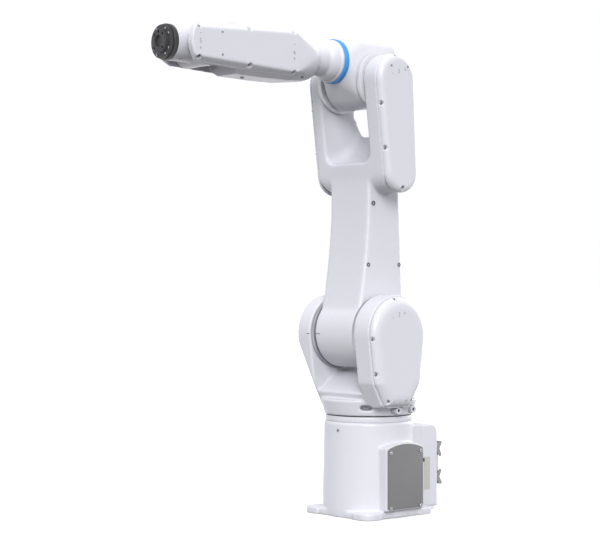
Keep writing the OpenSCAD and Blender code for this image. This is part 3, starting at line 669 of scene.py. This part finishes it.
# %% [markdown]
# ## Connector contacts
# The insert of a heavy-duty connector carries rows of gilded pins. A loop could place them one by
# one, but a second tree keeps the counts and sizes as inputs: a grid of points, a short pin on each,
# and one finish.

# %% Grow the contacts
pin_tree, pin_sockets, given, add = new_tree("contacts", [
    ("Columns", "Int"), ("Rows", "Int"), ("Width", "Float"), ("Height", "Float"),
    ("Pin radius", "Float"), ("Pin length", "Float"), ("Pin finish", "Material")])
PIN_SIDES = 10
# cone and coated add to the newest tree, which is now this one.
grid = add("GeometryNodeMeshGrid", links={"Size X": given["Height"], "Size Y": given["Width"],
                                          "Vertices X": given["Rows"], "Vertices Y": given["Columns"]})
pin = cone(PIN_SIDES, given["Pin radius"], given["Pin radius"], given["Pin length"])
laid = add("GeometryNodeInstanceOnPoints", links={"Points": grid.outputs[0], "Instance": pin}).outputs[0]
laid = add("GeometryNodeRealizeInstances", links={"Geometry": laid}).outputs[0]
add("NodeGroupOutput", links={0: coated(laid, given["Pin finish"])})
pins = grow(pin_tree, pin_sockets, bpy.data.meshes.new("contact_start"), "contacts", {
    "Columns": 3, "Rows": 8, "Width": 14 * MM, "Height": 42 * MM,
    "Pin radius": 1.1 * MM, "Pin length": 1.6 * MM, "Pin finish": GOLD_PIN})
middle = [(low("connector_insert", axis) + high("connector_insert", axis)) / 2 for axis in (Y, Z)]
pins.transform(Matrix.Translation((low("connector_insert", X), *middle))
               @ Matrix.Rotation(-math.pi / 2, 4, "Y"))
attach(placed("contacts", pins), "base")
print("contacts:", len(pins.polygons), "faces")

# %% [markdown]
# ## Printed marks
# Each axis has its number printed beside it, with a minus and a plus for its two senses, and short
# lines on both sides of a joint show its zero. An image would blur close up. Letters are therefore
# given a hair of thickness and made a mesh, and each point is then dropped along the facing onto the
# casting, so that print and paint stay together.

# %% Print on the castings
PRINT = 0.09 * MM
INK_SPREAD, INK_MERGED, CURVE_STEPS = 0.012, 0.001 * MM, 4
ON_LEFT = Matrix(((-1, 0, 0), (0, 0, 1), (0, 1, 0))).to_4x4()


def lettering(text, height):
    """Text as a thin closed mesh in the XY plane."""
    curve = bpy.data.curves.new("mark", "FONT")
    curve.body, curve.size, curve.extrude, curve.resolution_u = text, height, PRINT, CURVE_STEPS
    curve.align_x, curve.align_y, curve.offset = "CENTER", "CENTER", INK_SPREAD * height
    return finished(placed("mark", curve), "mark")


def printed(name, node, shell, facing, material):
    """Drops a thin shape, drawn across facing at the origin, onto a dressed piece."""
    bmesh.ops.remove_doubles(shell, verts=shell.verts, dist=INK_MERGED)
    for vertex in shell.verts:
        height = vertex.co.dot(facing)
        vertex.co = surface(node, vertex.co - height * facing, facing) + height * facing
    bmesh.ops.recalc_face_normals(shell, faces=shell.faces)
    mesh = as_mesh(shell, name)
    mesh.materials.append(material)
    attach(placed(name, mesh), BODY_OF[node])


def axis_marks(node, number, places, height):
    """A minus, the axis number and a plus, in this order, at (x, z) places on a left face."""
    shell = bmesh.new()
    for text, (x, z) in zip(("-", number, "+"), places):
        mesh = lettering(text, height)
        mesh.transform(Matrix.Translation((x, 0, z)) @ ON_LEFT)
        shell.from_mesh(mesh)
    printed("axis_mark_" + number, node, shell, LEFT, MARK_INK)


MARK_H = 11 * MM
# Where the minus, the number and the plus stand, in mm ahead of and above an axis.
AXIS_MARKS = (
    ("shoulder_cover_left", "2", J2, [(20.8, 29.9), (6.2, 35.0), (-7.4, 36.7)]),
    ("shoulder_cover_left", "1", J2, [(17, -121.6), (1.9, -121.4), (-13.3, -121.2)]),
    ("elbow_cover_left", "3", J3, [(14.2, 9.7), (-0.9, 12.8), (-16.2, 16.8)]),
    ("forearm_cover_left", "4", FOREARM_AXIS, [(226.8, 14), (226.8, -1.7), (226.8, -12.2)]),
    ("forearm_cover_left", "5", FOREARM_AXIS, [(431.8, 14.7), (431.8, 0.2), (431.8, -11.9)]))
for node, number, axis_at, offsets in AXIS_MARKS:
    axis_marks(node, number, around(axis_at, offsets), MARK_H)
print("printed marks:", len(AXIS_MARKS))


# %% Zero lines
def strip(start, end, across, facing, steps=8):
    """A thin bar from start to end, cut into steps so that it can bend."""
    shell = bmesh.new()
    thick = PRINT * facing
    corners = (across + thick, -across + thick, -across - thick, across - thick)
    rings = []
    for step in range(steps + 1):
        at = start.lerp(end, step / steps)
        rings.append([shell.verts.new(at + corner) for corner in corners])
    for one, two in zip(rings, rings[1:]):
        for k in range(4):
            shell.faces.new((one[k], one[k - 1], two[k - 1], two[k]))
    shell.faces.new(rings[0])
    shell.faces.new(rings[-1][::-1])
    return shell


ZERO_UP, ZERO_HALF = -2 * MM, 0.7 * UP * MM
ZERO_LINES = (("turret_casting", -67, -59.5), ("lower_arm_casting", -50, -36))
for node, y0, y1 in ZERO_LINES:
    line = strip(Vector((0, y0, 0)) * MM, Vector((0, y1, 0)) * MM, ZERO_HALF, FRONT)
    bmesh.ops.translate(line, verts=line.verts, vec=(0, 0, J2.z + ZERO_UP))
    printed("shoulder_zero_" + BODY_OF[node], node, line, FRONT, LINE_INK)
print("zero lines:", len(ZERO_LINES))

# %% [markdown]
# ## Plates and sockets
# The rear box has a pale, plain plate on its left side and a small dark square beside it. A Bevel or
# a texture would add nothing to faces this thin, so both are blocks that start in the box's face and
# stand a little proud. The lifting plugs have deep hexagon sockets, and a dark disc on the floor of
# each is painted shade for the dark inside of the socket.

# %% Plates
def block(name, spans, material, node):
    """A small plate that fills a span along X, along Y and along Z."""
    lowest, highest = (Vector(corner) for corner in zip(*spans))
    shell = bmesh.new()
    bmesh.ops.create_cube(shell, size=1.0)
    bmesh.ops.scale(shell, vec=highest - lowest, verts=shell.verts)
    bmesh.ops.translate(shell, vec=(lowest + highest) / 2, verts=shell.verts)
    mesh = as_mesh(shell, name)
    mesh.materials.append(material)
    attach(placed(name, mesh), BODY_OF[node])


SIDE = high("connector_box", Y)
PLATE_X, PLATE_Y, PLATE_Z = (-0.111, -0.095), (SIDE - 0.5 * MM, SIDE + 0.4 * MM), (0.039, 0.100)
SQUARE_X, SQUARE_Y, SQUARE_Z = (-0.0962, -0.0920), (SIDE, SIDE + 0.55 * MM), (0.0915, 0.0985)
PLATES = {
    "rating_plate": ((PLATE_X, PLATE_Y, PLATE_Z), PALE_PLATE, "machined_steel"),
    "rating_square": ((SQUARE_X, SQUARE_Y, SQUARE_Z), DARK_STEEL, "insert_plastic")}
for name, (spans, material, slot) in PLATES.items():
    block(name, spans, material, "connector_box")
print("plates:", len(PLATES))

# %% Socket floors, painted dark as shade
HEX_R, HEX_T = 3.4 * MM, 0.4 * MM
LIFT_Z = (low("socket_plugs", Z) + high("socket_plugs", Z)) / 2
SOCKETS = ((13 * MM, 91.0 * MM), (-33 * MM, 82.4 * MM))
# Each socket gets a thin dark hexagon at its floor, which is painted shade for the deep socket.
floors = bmesh.new()
for x, y in SOCKETS:
    stand = Matrix.Translation((x, y, LIFT_Z)) @ Matrix.Rotation(-math.pi / 2, 4, "X")
    bmesh.ops.create_cone(floors, cap_ends=True, segments=HEX_SIDES, radius1=HEX_R, radius2=HEX_R,
                          depth=HEX_T, matrix=stand)
mesh = as_mesh(floors, "socket_painted_shade")
mesh.materials.append(DARK_STEEL)
attach(placed("socket_painted_shade", mesh), "turret")
print("socket floors:", len(SOCKETS))

# %% [markdown]
# ## Studio
# A pale floor that runs off past the picture, a bright surround with a trace of blue, and three soft
# lamps: a key from behind the camera, a rim light from the robot's rear that clears the far edges, and
# a weak one from the top. The surround is darker below the horizon. The floor hides that half from the
# camera, so only undersides see it, and it gives them their shade. Sun lamps with a wide angle light
# the floor evenly right to its edge, so floor and surround meet without a line. The camera stands level
# at a little under half the arm's height, turned the way the reference view is.

# %% Floor
FLOOR_HALF, FLOOR_DROP = 60.0, 0.2 * MM
CORNERS = ((-1, -1), (1, -1), (1, 1), (-1, 1))
floor_mesh = bpy.data.meshes.new("floor")
floor_mesh.from_pydata([(sx * FLOOR_HALF, sy * FLOOR_HALF, -FLOOR_DROP) for sx, sy in CORNERS],
                       [], [(0, 1, 2, 3)])
floor = placed("floor", floor_mesh)
floor.visible_diffuse = False
pale_floor = Finish("pale_floor", (0.93, 0.93, 0.93), Roughness=0.95, Specular_IOR_Level=0.1)
floor_mesh.materials.append(pale_floor.material)
print("floor:", 2 * FLOOR_HALF, "m wide")

# %% Surround and lamps
SKY_TINT, SKY_ABOVE, SKY_BELOW = (0.955, 0.955, 1.0), 1.06, 0.18
DARK_UNDER, BRIGHT_OVER = -0.12, -0.06
world = bpy.data.worlds.new("studio")
bpy.context.scene.world = world
world.use_nodes = True
sky, links = world.node_tree.nodes, world.node_tree.links
sky["Background"].inputs["Color"].default_value = (*SKY_TINT, 1.0)
direction = sky.new("ShaderNodeSeparateXYZ")
links.new(sky.new("ShaderNodeTexCoord").outputs["Generated"], direction.inputs[0])
above = sky.new("ShaderNodeMapRange")
links.new(direction.outputs["Z"], above.inputs["Value"])
for socket, value in (("From Min", DARK_UNDER), ("From Max", BRIGHT_OVER),
                      ("To Min", SKY_BELOW), ("To Max", SKY_ABOVE)):
    above.inputs[socket].default_value = value
links.new(above.outputs[0], sky["Background"].inputs["Strength"])

# Each lamp has the way its light travels, its strength and its spread in degrees.
LAMPS = {"key": ((-0.61, -0.72, -0.47), 2.4, 30),
         "rim": ((0.95, 0.10, -0.30), 1.6, 40),
         "top": ((-0.30, 0.0, -1.0), 0.65, 30)}
for name, (travel, strength, spread) in LAMPS.items():
    data = bpy.data.lights.new(name, "SUN")
    data.energy, data.angle = strength, math.radians(spread)
    placed(name, data).rotation_euler = Vector(travel).to_track_quat("-Z", "Y").to_euler()
print("lamps:", len(LAMPS))

# %% Camera
# The reference picture is 600 pixels wide, and the focal length is given in its pixels.
IMAGE_W, FOCAL_PX, HORIZON_DROP_PX = 600, 1640, 13.5
SENSOR_MM = 36.0
CAMERA_AT, CAMERA_LOOK = Vector((2.106, 2.209, 0.432)), Vector((-0.659, -0.752, 0.0))
lens = bpy.data.cameras.new("camera")
lens.sensor_width, lens.lens = SENSOR_MM, SENSOR_MM * FOCAL_PX / IMAGE_W
lens.shift_y = HORIZON_DROP_PX / IMAGE_W
camera = placed("camera", lens)
camera.location = CAMERA_AT
camera.rotation_euler = CAMERA_LOOK.to_track_quat("-Z", "Y").to_euler()
bpy.context.scene.camera = camera
bpy.context.scene.view_settings.view_transform = "Standard"
print("lens:", round(lens.lens, 1), "mm")
